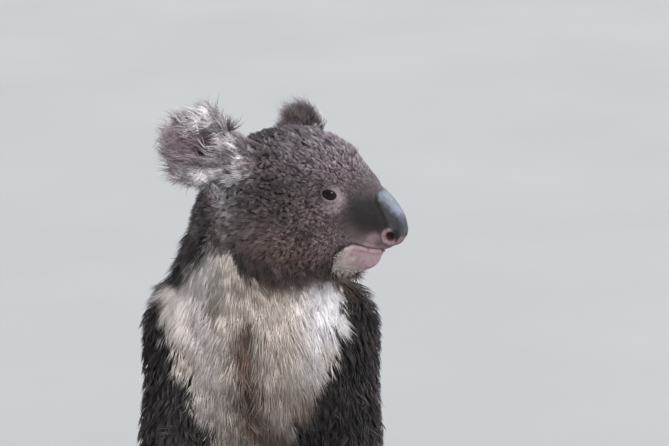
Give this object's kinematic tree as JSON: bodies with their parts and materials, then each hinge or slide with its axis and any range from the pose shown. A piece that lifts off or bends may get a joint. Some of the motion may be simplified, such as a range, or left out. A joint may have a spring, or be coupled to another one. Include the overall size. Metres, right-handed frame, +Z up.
{
  "type": "koala",
  "caption": "Adult koala sitting upright on its rump, forepaws on the floor between its feet, head turned to its left, with a cream bib and fringed ears.",
  "frame": {"origin": "on the floor, under the middle of the box around the whole animal", "axes": "+Z up; the body faces -Y; +X is the animal's own left, towards which its head is turned"},
  "size_m": [0.4366, 0.4002, 0.5438],
  "materials": {
    "fur_dark": "woolly dark grey-brown coat",
    "fur_pale": "long cream coat of the bib, dark on the back",
    "fur_ear": "long grey and white fringe",
    "fur_limb": "short dark grey-brown coat",
    "eye": "wet gloss",
    "claw": "dull horn"
  },
  "bodies": {
    "root": {"claw_foot_L_2": "claw", "claw_foot_L_3": "claw", "claw_foot_L_4": "claw", "claw_foot_L_5": "claw", "claw_foot_R_2": "claw", "claw_foot_R_3": "claw", "claw_foot_R_4": "claw", "claw_foot_R_5": "claw", "claw_hand_L_1": "claw", "claw_hand_L_2": "claw", "claw_hand_L_3": "claw", "claw_hand_L_4": "claw", "claw_hand_L_5": "claw", "claw_hand_R_1": "claw", "claw_hand_R_2": "claw", "claw_hand_R_3": "claw", "claw_hand_R_4": "claw", "claw_hand_R_5": "claw", "ear_L": "fur_ear", "ear_R": "fur_ear", "eye_L": "eye", "eye_R": "eye", "foot_L": "fur_limb", "foot_R": "fur_limb", "forearm_L": "fur_limb", "forearm_R": "fur_limb", "hand_L": "fur_limb", "hand_R": "fur_limb", "head": "fur_dark", "neck": "fur_dark", "shin_L": "fur_limb", "shin_R": "fur_limb", "thigh_L": "fur_limb", "thigh_R": "fur_limb", "trunk": "fur_pale", "upper_arm_L": "fur_limb", "upper_arm_R": "fur_limb"}
  },
  "joints": []
}
